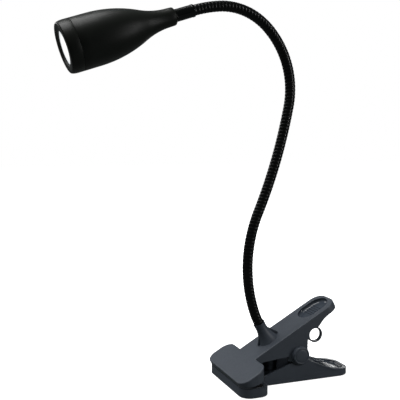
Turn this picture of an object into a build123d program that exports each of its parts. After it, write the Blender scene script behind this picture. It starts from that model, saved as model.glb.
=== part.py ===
from build123d import *
from math import atan, cos, radians, sin, tan
import os

os.makedirs("parts", exist_ok=True)

# Clip-on reading lamp. Millimetres, +Z up, +X from the jaws to the finger grips, Y along the clip's pivot pin.
# The origin is the middle of the lower jaw's gripping face, where the edge of the shelf goes.

# ---- clip, driving dimensions ----
LEVER_WIDTH = 29.0
JAW_WIDTH = 71.0
JAW_FRONT_CORNER = 8.5
JAW_BACK_CORNER = 8.5
LEVER_SLOPE = 29.0  # upper lever above the lower one with the clip shut, degrees
JAW_TAPER = 13.5  # upper gripping face above the lower one with the clip shut, degrees
PLATE = 2.6  # thickness of the levers' flat plates
CHEEK = 2.5  # thickness of the levers' outer side walls
EAR = 2.2  # thickness of the lower lever's inner ears
CLEARANCE = 0.35  # between pieces that move past each other
EDGE_ROUND = 0.7
OUTLINE_ROUND = 12.0
PAD = 1.6
PAD_MARGIN = 3.5
PAD_CORNER = 5.0
FOOT_X, FOOT_Z = 30.0, 25.0  # where the neck's axis crosses the upper lever's top face

# stations along the upper lever's top face, from the neck's foot towards the grip
UPPER_JAW_FRONT = -43.5
UPPER_JAW_BACK = -19.3
UPPER_TIP = 61.3
UPPER_TIP_CORNER = 10.0
GRIP_DEPTH = 5.6
DISH_START, DISH_END = 32.0, 59.0
DISH_WIDTH = 19.0
DISH_DEPTH = 3.0
DISH_FLOOR = 1.6
DISH_ROUND = 2.2
DISH_RIBS = 5
DISH_RIB_PITCH = 2.2
DISH_RIB_HEIGHT = 0.5
PAN_START = 28.0  # the channel is shallower from here, under the dish
CHANNEL_DEEP = 40.0
BULKHEAD_START, BULKHEAD_THICKNESS, BULKHEAD_DROP = 24.4, 2.4, 12.0
EYE_CENTRE = (32.2, -12.9)
EYE_HOLE_R = 5.0
EYE_R = 6.2
EYE_THICKNESS = 2.6

# stations along the lower lever
BASE_Z = -7.0
LOWER_JAW_FRONT = -6.3
LOWER_JAW_BACK = 16.5
JAW_DRAFT = 1.0  # how much narrower the lower jaw is than the upper one
LOWER_TIP = 97.5
LOWER_TIP_CORNER = 10.0
CHANNEL_START, CHANNEL_END = 20.5, 62.5
GRIP_START, GRIP_WALL = 66.0, 3.0
PAN_DEPTH = 1.8  # the lower grip's pan below the top edge of its walls
PAN = 1.6
PAN_ROUND = 1.2
PAN_RIBS_X = 82.0
PANEL_DEPTH = 0.5

# ---- pivot and spring ----
PIVOT_L, PIVOT_N = 13.2, -19.3  # along and square to the upper lever's top face, from the neck's foot
LUG_R = 7.9
EAR_R = 6.6
PIN_R = 2.0
PIN_FIT = 0.05
CAP_R = 6.9
CAP_HEIGHT = 3.8
CAP_SOCKET = 2.2
COIL_R = 5.0
WIRE_R = 0.8
COIL_PITCH = 2.0
COIL_TURNS = 4.125
FREE_LEG_ANGLE = 165.0  # where the wire meets the coil, degrees round the pin
FREE_LEG_LENGTH = 16.9
FREE_LEG_GAP = 0.45
FIXED_LEG_LENGTH = 18.2

# ---- cord inlet ----
GROMMET_DROP = 8.2
GROMMET_R = 3.2
GROMMET_FLANGE_R = 4.2
GROMMET_FLANGE = 1.1
GROMMET_BORE_R = 1.9

# ---- neck ----
NECK_R = 4.0
NECK_BORE_R = 2.4
CABLE_R = 1.7
SLEEVE_TOP = 16.0
SLEEVE_R = 4.65
SLEEVE_BORE_R = 4.05
SLEEVE_FLARE_R = 8.2
FIN = 1.3
REAR_FIN_TOP, REAR_FIN_REACH = 9.5, 10.0
FRONT_FIN_TOP, FRONT_FIN_REACH = 7.0, 9.2
FIN_TOE = 1.1
NECK_IN_SLEEVE = 14.0
NECK_IN_FERRULE = 12.0
# the neck from the sleeve's floor to the ferrule's: length and turn of each stretch
NECK_RUNS = [
    (NECK_IN_SLEEVE, 0),
    (8, -9.0),
    (82, -43.3),
    (85, 12.3),
    (64, 56.7),
    (43, 50.4),
    (21, 12.1),
    (NECK_IN_FERRULE, 0),
]
NECK_JOINTS = 12
NECK_BEND = 20.0  # each joint's largest bend either way, degrees
END_GAP = 0.2
STUD_R = 5.0
STUD_BORE_R = 2.4
STUD_DROP = 9.0
NUT_ACROSS = 15.0
NUT_HEIGHT = 4.0
WASHER_R = 8.5
WASHER_HEIGHT = 1.0
WASHER_TEETH = 10

# ---- head: distances back from its front rim along its own axis, and radii ----
HEAD_LENGTH = 84.2
HEAD_R = 18.6
HEAD_WALL = 2.4
BARREL_END = 22.0  # the straight barrel ends and the shoulder starts
SHOULDER_END = 80.0
SHOULDER_END_R = 6.7
SHOULDER_SHARE = 0.635  # share of the shoulder's length that is convex
COLLAR_R = 6.6
COLLAR_ROUND = 2.0
BEZEL_LENGTH = 8.7
BEZEL_SHOULDER = 3.5
BEZEL_RIM_R = 18.0
BEZEL_RIM = 1.6
BEZEL_LIP_R = 12.2
BEZEL_LIP_DEPTH = 0.25
BEZEL_SKIRT_R = 17.1
BEZEL_BORE_R = 15.4
LENS_R = 14.0
LENS_FRONT = 1.9
LENS_THICKNESS = 2.0
REFLECTOR_FRONT_R = 14.6
REFLECTOR_BACK_R = 4.0
REFLECTOR_WALL = 0.9
BOARD_FRONT = 14.9
BOARD_R = 13.0
BOARD_THICKNESS = 1.6
CHIP_R = 3.4
CHIP_THICKNESS = 0.9
SINK_BASE = 2.0
SINK_R = 14.5
SINK_CORE_R = 6.0
SINK_LENGTH = 14.0
SINK_FINS = 12
SINK_FIN = 1.2
LEAD_R = 0.6
LEAD_OFFSET = 10.0
LEAD_HOLE_R = 1.0
SCREW_OFFSET = 10.0
SCREW_R = 1.2
SCREW_HEAD_R = 2.1
SCREW_HEAD = 1.3
REAR_PLUG_START = 70.0
TOP_STUD_R = 3.6
TOP_STUD_BORE_R = 2.0
TOP_NUT_ACROSS = 9.0
TOP_NUT_HEIGHT = 3.5
FERRULE_LENGTH = 15.4
FERRULE_R = 4.75
FERRULE_MOUTH_R = 4.4

# ---- derived places ----
half_lever = LEVER_WIDTH / 2
inner_half = half_lever - CHEEK
ear_outer = inner_half - CLEARANCE
ear_inner = ear_outer - EAR
slope = radians(LEVER_SLOPE)
along = Vector(cos(slope), 0, sin(slope))
normal = Vector(-sin(slope), 0, cos(slope))
foot = Vector(FOOT_X, 0, FOOT_Z)
pivot = foot + along * PIVOT_L + normal * PIVOT_N
pin_axis = Vector(0, -1, 0)


def side_plane(origin, x_dir, y=0.0):
    """A side view from -Y: its x runs along x_dir, and it lies at that Y."""
    return Plane(origin=Vector(origin.X, y, origin.Z), x_dir=x_dir, z_dir=pin_axis)


def upper_side(y=0.0):
    """Side view of the upper lever: x along its top face from the neck's foot, y square to it."""
    return side_plane(foot, along, y)


def lower_side(y=0.0):
    """Side view in the clip's own X and Z."""
    return side_plane(Vector(0, 0, 0), Vector(1, 0, 0), y)


def pivot_side(y=0.0, angle=0.0):
    """Side view centred on the pivot pin, its x turned to that angle."""
    turn = radians(angle)
    return side_plane(pivot, Vector(cos(turn), 0, sin(turn)), y)


upper_top = Plane(origin=foot, x_dir=along, z_dir=normal)


def save(builder, name):
    """Labels a finished sub-part and writes it to a file of its own."""
    builder.part.label = name
    export_step(builder.part, f"parts/{name}.step")


def plan_outline(front, back, width, front_corner, back_corner):
    """Plan outline of a jaw, a lever or the hollow in one. A corner radius of 0 leaves that end square."""
    with BuildSketch(mode=Mode.PRIVATE) as outline:
        with Locations(((front + back) / 2, 0)):
            Rectangle(back - front, width)
        for end, radius in ((0, front_corner), (-1, back_corner)):
            if radius:
                fillet(outline.vertices().group_by(Axis.X)[end], radius)
    return outline.sketch


def drill(plane, radius, depth, both=False):
    """Cuts a round hole into the part under way, down from that plane."""
    with BuildSketch(plane) as hole:
        Circle(radius)
    extrude(hole.sketch, amount=-depth, both=both, mode=Mode.SUBTRACT)


# ---- the neck's curve ----
def neck_at(distance):
    """Point, and heading in degrees from +X, at a distance along the neck from its lower end."""
    point = foot + normal * (SLEEVE_TOP - NECK_IN_SLEEVE)
    heading = 90 + LEVER_SLOPE
    left = distance
    for length, turn in NECK_RUNS:
        step = min(left, length)
        swing = turn * step / length
        half_swing = radians(swing / 2)
        chord = step * sin(half_swing) / half_swing if swing else step
        aim = radians(heading) + half_swing
        point = point + Vector(cos(aim), 0, sin(aim)) * chord
        heading += swing
        left -= step
    return point, heading


def direction(heading):
    """Unit vector in the XZ plane at that heading."""
    return Vector(cos(radians(heading)), 0, sin(radians(heading)))


def neck_rod(begin, end, radius, bore=0.0):
    """A round rod or tube that follows the neck between two distances."""
    point, heading = neck_at(begin)
    with BuildPart() as rod:
        with BuildLine(Plane.XZ):
            passed = 0.0
            for length, turn in NECK_RUNS:
                low, high = max(begin, passed), min(end, passed + length)
                passed += length
                if high - low < 0.01:
                    continue
                start, aim = neck_at(low)
                stop, _ = neck_at(high)
                if turn:
                    bend_radius = length / radians(abs(turn))
                    tangent = direction(aim)
                    JernArc(
                        start=(start.X, start.Z),
                        tangent=(tangent.X, tangent.Z),
                        radius=bend_radius,
                        arc_size=turn * (high - low) / length,
                    )
                else:
                    Line((start.X, start.Z), (stop.X, stop.Z))
        with BuildSketch(Plane(origin=point, x_dir=(0, 1, 0), z_dir=direction(heading))):
            Circle(radius)
            if bore:
                Circle(bore, mode=Mode.SUBTRACT)
        sweep()
    return rod


neck_length = sum(length for length, _ in NECK_RUNS)
free_neck = neck_length - NECK_IN_SLEEVE - NECK_IN_FERRULE
joint_spacing = free_neck / NECK_JOINTS
joint_places = [NECK_IN_SLEEVE + (number + 0.5) * joint_spacing for number in range(NECK_JOINTS)]

# ---- upper lever: T-shaped jaw, channel, neck boss, dished grip and eye, one moulding ----
front_drop = -(FOOT_Z + UPPER_JAW_FRONT * along.Z - CLEARANCE) / normal.Z
grip_edge = foot + along * UPPER_JAW_FRONT + normal * front_drop
taper = radians(JAW_TAPER)
upper_grip = Plane(origin=grip_edge, x_dir=(cos(taper), 0, sin(taper)), z_dir=(-sin(taper), 0, cos(taper)))
cheek_outline = [
    (UPPER_JAW_BACK - 3, 0),
    (UPPER_TIP, 0),
    (UPPER_TIP, -GRIP_DEPTH + 1.2),
    (UPPER_TIP - 2.0, -GRIP_DEPTH),
    (50.0, -GRIP_DEPTH),
    (45.0, -6.2),
    (41.0, -7.8),
    (38.0, -9.0),
    (24.6, -13.2),
    (PIVOT_L + LUG_R, PIVOT_N),
    (PIVOT_L, PIVOT_N - LUG_R),
    (2.8, -18.1),
    (4.5, -15.0),
    (-15.0, -6.4),
    (UPPER_JAW_BACK - 3, -6.4),
]

grommet_plane = Plane(
    origin=foot + along * (BULKHEAD_START + BULKHEAD_THICKNESS / 2) - normal * GROMMET_DROP,
    x_dir=(0, 1, 0),
    z_dir=along,
)


def jaw_pad(face, front, back):
    """Rubber pad let into a jaw's gripping face: face is that face's plane, its normal out of the jaw's solid."""
    with BuildPart() as pad:
        with BuildSketch(face):
            with Locations(((front + back) / 2, 0)):
                RectangleRounded(back - front, JAW_WIDTH - 2 * PAD_MARGIN, PAD_CORNER)
        extrude(amount=PAD)
    return pad


upper_jaw_reach = UPPER_JAW_BACK - UPPER_JAW_FRONT
upper_jaw_back = (foot + along * UPPER_JAW_BACK).X
upper_pad = jaw_pad(upper_grip, PAD_MARGIN, upper_jaw_reach - PAD_MARGIN)
lower_pad = jaw_pad(Plane.XY.offset(-PAD), LOWER_JAW_FRONT + PAD_MARGIN, LOWER_JAW_BACK - PAD_MARGIN)

# the jaw's front follows the lever's slope and its back is upright
with BuildPart() as upper_jaw:
    with BuildSketch(upper_top):
        add(plan_outline(UPPER_JAW_FRONT, UPPER_JAW_BACK + 10, JAW_WIDTH, JAW_FRONT_CORNER, 0))
    extrude(amount=-FOOT_Z)
    with BuildSketch(Plane.XY):
        add(plan_outline(grip_edge.X - 10, upper_jaw_back, JAW_WIDTH, 0, JAW_BACK_CORNER))
    extrude(amount=FOOT_Z, mode=Mode.INTERSECT)
    split(bisect_by=upper_grip, keep=Keep.TOP)

with BuildPart() as upper_lever:
    with BuildSketch(upper_side()) as cheek:
        Polygon(*cheek_outline, align=None)
        fillet(cheek.vertices().filter_by_position(Axis.X, 37, 51), OUTLINE_ROUND)
        with Locations((PIVOT_L, PIVOT_N)):
            Circle(LUG_R)
    extrude(amount=half_lever, both=True)
    with BuildSketch(upper_top):
        add(plan_outline(UPPER_JAW_BACK - 3, UPPER_TIP, LEVER_WIDTH, 0, UPPER_TIP_CORNER))
    extrude(amount=40, both=True, mode=Mode.INTERSECT)
    # the channel, open below, and a shallower one under the grip's dish
    with BuildSketch(upper_top.offset(-PLATE)):
        with Locations((UPPER_JAW_BACK, 0)):
            Rectangle(PAN_START - UPPER_JAW_BACK, 2 * inner_half, align=(Align.MIN, Align.CENTER))
    extrude(amount=-CHANNEL_DEEP, mode=Mode.SUBTRACT)
    with BuildSketch(upper_top.offset(-DISH_DEPTH - DISH_FLOOR)):
        add(plan_outline(PAN_START - 1, UPPER_TIP - CHEEK, 2 * inner_half, 0, UPPER_TIP_CORNER - CHEEK))
    extrude(amount=-CHANNEL_DEEP, mode=Mode.SUBTRACT)
    add(upper_jaw.part)
    fillet(upper_lever.faces().sort_by(Axis(foot, normal))[-1].edges(), EDGE_ROUND)
    # bulkhead across the channel, which holds the cord grommet
    with BuildSketch(upper_side()):
        with Locations((BULKHEAD_START, -PLATE / 2)):
            Rectangle(BULKHEAD_THICKNESS, BULKHEAD_DROP - PLATE / 2, align=(Align.MIN, Align.MAX))
    extrude(amount=inner_half + CHEEK / 2, both=True)
    # dish in the grip, with fine cross ribs on its floor
    with BuildSketch(upper_top):
        with Locations(((DISH_START + DISH_END) / 2, 0)):
            SlotOverall(DISH_END - DISH_START, DISH_WIDTH)
    extrude(amount=-DISH_DEPTH, mode=Mode.SUBTRACT)
    fillet(upper_lever.edges(Select.LAST).group_by(Axis(foot, normal))[0], DISH_ROUND)
    with BuildSketch(upper_top.offset(-DISH_DEPTH)):
        with Locations(((DISH_START + DISH_END) / 2, 0)):
            with GridLocations(DISH_RIB_PITCH, 0, DISH_RIBS, 1):
                Rectangle(DISH_RIB_PITCH / 2.4, DISH_WIDTH - 3)
    extrude(amount=DISH_RIB_HEIGHT)
    # neck boss: a trumpet foot with a thin fin in front and behind
    with BuildSketch(upper_side()):
        with BuildLine():
            Line((0, 0), (0, SLEEVE_TOP))
            Line((0, SLEEVE_TOP), (SLEEVE_R, SLEEVE_TOP))
            ThreePointArc((SLEEVE_R, SLEEVE_TOP), (SLEEVE_R + 0.55, SLEEVE_TOP * 0.42), (SLEEVE_FLARE_R, 0))
            Line((SLEEVE_FLARE_R, 0), (0, 0))
        make_face()
    revolve(axis=Axis(foot, normal))
    with BuildSketch(upper_side()):
        Polygon(
            (0, -FIN_TOE),
            (REAR_FIN_REACH, -FIN_TOE),
            (REAR_FIN_REACH, FIN_TOE),
            (SLEEVE_R, REAR_FIN_TOP),
            (0, REAR_FIN_TOP),
            (-SLEEVE_R, FRONT_FIN_TOP),
            (-FRONT_FIN_REACH, FIN_TOE),
            (-FRONT_FIN_REACH, -FIN_TOE),
            align=None,
        )
    extrude(amount=FIN / 2, both=True)
    # eye on the near cheek's back edge
    with BuildSketch(upper_side(-half_lever)):
        with Locations(EYE_CENTRE):
            Circle(EYE_R)
    extrude(amount=-EYE_THICKNESS)
    with BuildSketch(upper_side(-half_lever)):
        with Locations(EYE_CENTRE):
            Circle(EYE_HOLE_R)
    extrude(amount=-half_lever, mode=Mode.SUBTRACT)
    # bores for the neck, its stud, the grommet and the pivot pin, and the pocket for the rubber pad
    drill(upper_top.offset(SLEEVE_TOP), SLEEVE_BORE_R, SLEEVE_TOP)
    drill(upper_top.offset(SLEEVE_TOP - NECK_IN_SLEEVE), STUD_R, SLEEVE_TOP)
    drill(grommet_plane, GROMMET_R, BULKHEAD_THICKNESS, both=True)
    drill(pivot_side(), PIN_R, LEVER_WIDTH, both=True)
    add(upper_pad.part, mode=Mode.SUBTRACT)
save(upper_lever, "upper_lever")
save(upper_pad, "upper_jaw_pad")

# ---- lower lever: jaw, channel with two inner ears, and a grip with a ribbed pan let in between its walls ----
grip_top = [(LOWER_TIP, -1.8), (88.0, -0.9), (81.4, 0.2), (74.5, 2.6), (66.3, 6.0), (61.7, 8.2)]
wall_outline = [
    (LOWER_JAW_BACK - 4, BASE_Z),
    (LOWER_TIP - 1.5, BASE_Z),
    (LOWER_TIP, BASE_Z + 1.5),
    *grip_top,
    (57.5, 10.2),
    (pivot.X, 9.4),
    (42.4, 8.1),
    (22.4, 1.0),
    (LOWER_JAW_BACK - 4, -1.8),
]
panel_outline = [(64.5, -1.2), (84.5, -1.9), (81.4, -1.1), (74.5, 1.3), (66.3, 4.8), (64.5, 5.7)]

grip_width = LEVER_WIDTH - 2 * GRIP_WALL


def grip_room(drop, far_z, floor_round=0.0):
    """The space between the lower grip's walls, from their top edge lowered by drop as far as that height."""
    with BuildPart() as room:
        with BuildSketch(lower_side()) as profile:
            Polygon(*[(x, z - drop) for x, z in grip_top], (grip_top[-1][0], far_z), (LOWER_TIP, far_z), align=None)
            fillet(profile.vertices().filter_by_position(Axis.X, 64, 89), OUTLINE_ROUND)
        extrude(amount=half_lever, both=True)
        with BuildSketch(Plane.XY):
            add(plan_outline(GRIP_START, LOWER_TIP - GRIP_WALL, grip_width, 0, LOWER_TIP_CORNER - GRIP_WALL))
        extrude(amount=30, both=True, mode=Mode.INTERSECT)
        if floor_round:
            floor_edges = room.faces().filter_by(lambda face: face.normal_at().Z < -0.5).edges()
            fillet([edge for edge in floor_edges if edge.bounding_box().size.Y < grip_width * 0.9], floor_round)
    return room


over_pan = grip_room(PAN_DEPTH, 20, PAN_ROUND)
under_pan = grip_room(PAN_DEPTH + PAN, BASE_Z - 1)
with BuildPart() as pan_ribs:
    with BuildSketch(Plane.XY.offset(BASE_Z)):
        with Locations((PAN_RIBS_X, 0)):
            with GridLocations(DISH_RIB_PITCH, 0, DISH_RIBS, 1):
                Rectangle(DISH_RIB_PITCH / 2.4, grip_width - 3)
    extrude(amount=20)
    add(grip_room(PAN_DEPTH - DISH_RIB_HEIGHT, BASE_Z).part, mode=Mode.INTERSECT)

with BuildPart() as lower_lever:
    with BuildSketch(lower_side()) as wall:
        Polygon(*wall_outline, align=None)
        fillet(wall.vertices().filter_by_position(Axis.X, 57, 89), OUTLINE_ROUND)
    extrude(amount=half_lever, both=True)
    with BuildSketch(Plane.XY.offset(BASE_Z)):
        add(plan_outline(LOWER_JAW_BACK - 4, LOWER_TIP, LEVER_WIDTH, 0, LOWER_TIP_CORNER))
    extrude(amount=30, mode=Mode.INTERSECT)
    with BuildSketch(Plane.XY.offset(BASE_Z)):
        lower_jaw_width = JAW_WIDTH - JAW_DRAFT
        add(plan_outline(LOWER_JAW_FRONT, LOWER_JAW_BACK, lower_jaw_width, JAW_FRONT_CORNER, JAW_BACK_CORNER))
    extrude(amount=-BASE_Z)
    fillet(lower_lever.faces().sort_by(Axis.Z)[0].edges(), EDGE_ROUND)
    # the channel, open above, and the grip's pan, hollow above and below
    with BuildSketch(Plane.XY.offset(BASE_Z + PLATE)):
        with Locations(((CHANNEL_START + CHANNEL_END) / 2, 0)):
            Rectangle(CHANNEL_END - CHANNEL_START, 2 * inner_half)
    extrude(amount=30, mode=Mode.SUBTRACT)
    add(over_pan.part, mode=Mode.SUBTRACT)
    add(pan_ribs.part)
    add(under_pan.part, mode=Mode.SUBTRACT)
    # inner ears, then room beside them for the upper lever's lugs
    for side in (-1, 1):
        with BuildSketch(lower_side(side * ear_inner)):
            with Locations((pivot.X, pivot.Z)):
                Circle(EAR_R)
            Polygon(
                (pivot.X - EAR_R, pivot.Z),
                (pivot.X - EAR_R - 2, BASE_Z + 1),
                (pivot.X + EAR_R + 4, BASE_Z + 1),
                (pivot.X + EAR_R, pivot.Z),
                align=None,
            )
        extrude(amount=-side * (inner_half - ear_inner + 0.2))
        with BuildSketch(pivot_side(side * ear_outer)):
            Circle(LUG_R + 0.7)
        extrude(amount=-side * LEVER_WIDTH, mode=Mode.SUBTRACT)
        # shallow panel in the grip's side wall
        with BuildSketch(lower_side(side * half_lever)):
            Polygon(*panel_outline, align=None)
        extrude(amount=side * PANEL_DEPTH, mode=Mode.SUBTRACT)
    drill(pivot_side(), PIN_R + PIN_FIT, LEVER_WIDTH, both=True)
    add(lower_pad.part, mode=Mode.SUBTRACT)
save(lower_lever, "lower_lever")
save(lower_pad, "lower_jaw_pad")

# ---- pivot pin and the two caps pressed on its ends ----
pin_half = half_lever + CAP_SOCKET
with BuildPart() as pivot_pin:
    with BuildSketch(pivot_side()):
        Circle(PIN_R)
    extrude(amount=pin_half, both=True)
    chamfer(pivot_pin.edges(), 0.3)
save(pivot_pin, "pivot_pin")

for side, name in ((-1, "pivot_cap_near"), (1, "pivot_cap_far")):
    with BuildPart() as pivot_cap:
        with BuildSketch(pivot_side(side * half_lever)):
            Circle(CAP_R)
        extrude(amount=-side * CAP_HEIGHT)
        outer_rim = pivot_cap.edges().sort_by(Axis.Y)[0 if side < 0 else -1]
        fillet(outer_rim, 1.0)
        drill(pivot_side(side * half_lever), PIN_R, side * CAP_SOCKET)
    save(pivot_cap, name)

# ---- torsion spring: the coil and the leg on the lower lever's floor, and the leg under the upper lever ----
coil_height = COIL_PITCH * COIL_TURNS
coil_place = pivot_side(coil_height / 2, FREE_LEG_ANGLE)
last_angle = radians(360 * COIL_TURNS)
leg_root = Vector(COIL_R * cos(last_angle), COIL_R * sin(last_angle), coil_height)
with BuildPart() as coil:
    with BuildLine():
        winding = Helix(pitch=COIL_PITCH, height=coil_height, radius=COIL_R)
    with BuildSketch(Plane(origin=winding @ 0, z_dir=winding % 0)):
        Circle(WIRE_R)
    sweep(is_frenet=True)
    with Locations(leg_root):
        Sphere(WIRE_R)
    with BuildSketch(Plane(origin=leg_root, z_dir=(-sin(last_angle), cos(last_angle), 0))):
        Circle(WIRE_R)
    extrude(amount=FIXED_LEG_LENGTH)
with BuildPart() as spring_coil:
    with Locations(coil_place):
        add(coil.part)
save(spring_coil, "spring_coil")

with BuildPart() as spring_leg:
    leg_start = coil_place.from_local_coords((COIL_R, -FREE_LEG_GAP, -FREE_LEG_GAP))
    with BuildSketch(Plane(origin=leg_start, z_dir=-coil_place.y_dir)):
        Circle(WIRE_R)
    extrude(amount=FREE_LEG_LENGTH)
save(spring_leg, "spring_free_leg")

# ---- cord grommet in the bulkhead ----
with BuildPart() as grommet:
    with BuildSketch(grommet_plane):
        Circle(GROMMET_R)
    extrude(amount=BULKHEAD_THICKNESS / 2 + GROMMET_FLANGE, both=True)
    for face_side in (-1, 1):
        with BuildSketch(grommet_plane.offset(face_side * BULKHEAD_THICKNESS / 2)):
            Circle(GROMMET_FLANGE_R)
        extrude(amount=face_side * GROMMET_FLANGE)
    drill(grommet_plane, GROMMET_BORE_R, BULKHEAD_THICKNESS * 2, both=True)
save(grommet, "cord_inlet_grommet")

# ---- stud, toothed washer and nut that hold the neck in the upper lever ----
with BuildPart() as neck_stud:
    with BuildSketch(upper_top.offset(SLEEVE_TOP - NECK_IN_SLEEVE)):
        Circle(STUD_R)
        Circle(STUD_BORE_R, mode=Mode.SUBTRACT)
    extrude(amount=-STUD_DROP - SLEEVE_TOP + NECK_IN_SLEEVE)
    chamfer(neck_stud.faces().sort_by(Axis(foot, normal))[0].outer_wire().edges(), 0.5)
save(neck_stud, "neck_stud")

with BuildPart() as neck_washer:
    with BuildSketch(upper_top.offset(-PLATE)):
        Circle(WASHER_R - 1)
        with PolarLocations(WASHER_R - 1.2, WASHER_TEETH):
            Rectangle(2.4, 1.8)
        Circle(STUD_R, mode=Mode.SUBTRACT)
    extrude(amount=-WASHER_HEIGHT)
save(neck_washer, "neck_lock_washer")


def hex_nut(plane, across, height, bore):
    """Hexagon nut standing on a plane."""
    with BuildPart() as nut:
        with BuildSketch(plane):
            RegularPolygon(across / 2, 6, major_radius=False)
            Circle(bore, mode=Mode.SUBTRACT)
        extrude(amount=height)
    return nut


save(hex_nut(upper_top.offset(-PLATE - WASHER_HEIGHT - NUT_HEIGHT), NUT_ACROSS, NUT_HEIGHT, STUD_R), "neck_nut")

# ---- neck: a stub in the sleeve, a length between each pair of joints, and one that carries the head ----
tube_gap = NECK_R * tan(radians(NECK_BEND / 2)) + END_GAP
cable_gap = CABLE_R * tan(radians(NECK_BEND / 2)) + END_GAP
for number in range(NECK_JOINTS + 1):
    first, last = number == 0, number == NECK_JOINTS
    begin = 0.0 if first else joint_places[number - 1]
    end = neck_length if last else joint_places[number]
    tube = neck_rod(begin + (0 if first else tube_gap), end - (0 if last else tube_gap), NECK_R, NECK_BORE_R)
    save(tube, f"neck_tube_{number:02d}")
    cable = neck_rod(begin + (0 if first else cable_gap), end - (0 if last else cable_gap), CABLE_R)
    save(cable, f"neck_cable_{number:02d}")

# ---- head: its axis carries on from the neck's end ----
neck_end, head_heading = neck_at(neck_length - NECK_IN_FERRULE)
backward = direction(head_heading) * -1
head_front = neck_end - backward * (FERRULE_LENGTH + HEAD_LENGTH)
head_side = Plane(origin=head_front, x_dir=backward, z_dir=pin_axis)
head_axis = Axis(head_front, backward)


def head_plane(distance):
    """Plane square to the head's axis, that far behind its front rim, facing back."""
    return Plane(origin=head_front + backward * distance, x_dir=(0, 1, 0), z_dir=backward)


def turned(*points):
    """A solid turned round the head's axis from (distance back, radius) points."""
    with BuildPart() as piece:
        with BuildSketch(head_side):
            Polygon(*points, align=None)
        revolve(axis=head_axis)
    return piece


# the shoulder is a convex arc and a concave one, tangent to each other and to the barrel and the collar
shoulder_run = SHOULDER_END - BARREL_END
shoulder_drop = HEAD_R - SHOULDER_END_R
shoulder_angle = 2 * atan(shoulder_drop / shoulder_run)
shoulder_radii = shoulder_run / sin(shoulder_angle)
convex_r = shoulder_radii * SHOULDER_SHARE
concave_r = shoulder_radii - convex_r


def shoulder(inset):
    """Draws the shoulder's two arcs, that far inside the head's outer skin."""
    convex, concave = convex_r - inset, concave_r + inset
    start = (BARREL_END, HEAD_R - inset)
    middle = (
        BARREL_END + convex * sin(shoulder_angle),
        HEAD_R - inset - convex * (1 - cos(shoulder_angle)),
    )
    end = (SHOULDER_END, SHOULDER_END_R - inset)
    TangentArc(start, middle, tangent=(1, 0))
    TangentArc(middle, end, tangent=(cos(shoulder_angle), -sin(shoulder_angle)))


with BuildPart() as head_shell:
    with BuildSketch(head_side):
        with BuildLine():
            Line((BEZEL_LENGTH, 0), (BEZEL_LENGTH, HEAD_R))
            Line((BEZEL_LENGTH, HEAD_R), (BARREL_END, HEAD_R))
            shoulder(0)
            Line((SHOULDER_END, SHOULDER_END_R), (HEAD_LENGTH, COLLAR_R))
            Line((HEAD_LENGTH, COLLAR_R), (HEAD_LENGTH, 0))
            Line((HEAD_LENGTH, 0), (BEZEL_LENGTH, 0))
        make_face()
    revolve(axis=head_axis)
    fillet(head_shell.edges().sort_by(head_axis)[-1], COLLAR_ROUND)
    with BuildSketch(head_side):
        with BuildLine():
            Line((BARREL_END, 0), (BARREL_END, HEAD_R - HEAD_WALL))
            shoulder(HEAD_WALL)
            Line((SHOULDER_END, SHOULDER_END_R - HEAD_WALL), (SHOULDER_END, 0))
            Line((SHOULDER_END, 0), (BARREL_END, 0))
        make_face()
    revolve(axis=head_axis, mode=Mode.SUBTRACT)
    sink_back = BOARD_FRONT + BOARD_THICKNESS + SINK_BASE
    drill(head_plane(BARREL_END), HEAD_R - HEAD_WALL, BARREL_END)
    drill(head_plane(sink_back), BEZEL_SKIRT_R, BARREL_END)
    with BuildSketch(head_plane(REAR_PLUG_START)):
        Circle(SHOULDER_END_R - 0.6)
    extrude(amount=SHOULDER_END - REAR_PLUG_START + 1)
    drill(head_plane(HEAD_LENGTH), TOP_STUD_R, HEAD_LENGTH - REAR_PLUG_START)
save(head_shell, "head_shell")

skirt_end = BOARD_FRONT + BOARD_THICKNESS
lens_back = LENS_FRONT + LENS_THICKNESS
with BuildPart() as bezel:
    with BuildSketch(head_side):
        Polygon(
            (LENS_FRONT, BEZEL_LIP_R),
            (BEZEL_LIP_DEPTH, BEZEL_LIP_R),
            (0, BEZEL_RIM_R - BEZEL_RIM),
            (0, BEZEL_RIM_R),
            (BEZEL_SHOULDER, HEAD_R),
            (BEZEL_LENGTH, HEAD_R),
            (BEZEL_LENGTH, BEZEL_SKIRT_R),
            (skirt_end, BEZEL_SKIRT_R),
            (skirt_end, BEZEL_BORE_R),
            (lens_back, BEZEL_BORE_R),
            (lens_back, LENS_R),
            (LENS_FRONT, LENS_R),
            align=None,
        )
    revolve(axis=head_axis)
    rim_edges = bezel.edges().filter_by(GeomType.CIRCLE).group_by(head_axis)[0]
    fillet(rim_edges.sort_by(SortBy.RADIUS)[-1], 0.9)
save(bezel, "front_bezel")

with BuildPart() as lens:
    with BuildSketch(head_plane(LENS_FRONT)):
        Circle(LENS_R)
    extrude(amount=LENS_THICKNESS)
save(lens, "lens")

save(
    turned(
        (lens_back, REFLECTOR_FRONT_R - REFLECTOR_WALL),
        (lens_back, BEZEL_BORE_R),
        (lens_back + 1.0, BEZEL_BORE_R),
        (lens_back + 1.0, REFLECTOR_FRONT_R),
        (BOARD_FRONT, REFLECTOR_BACK_R + REFLECTOR_WALL),
        (BOARD_FRONT, REFLECTOR_BACK_R),
    ),
    "reflector",
)

with BuildPart() as board:
    with BuildSketch(head_plane(BOARD_FRONT)):
        Circle(BOARD_R)
        with GridLocations(2 * SCREW_OFFSET, 0, 2, 1):
            Circle(SCREW_R, mode=Mode.SUBTRACT)
    extrude(amount=BOARD_THICKNESS)
save(board, "led_board")

with BuildPart() as chip:
    with BuildSketch(head_plane(BOARD_FRONT)):
        Circle(CHIP_R)
    extrude(amount=-CHIP_THICKNESS)
save(chip, "led_chip")

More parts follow.
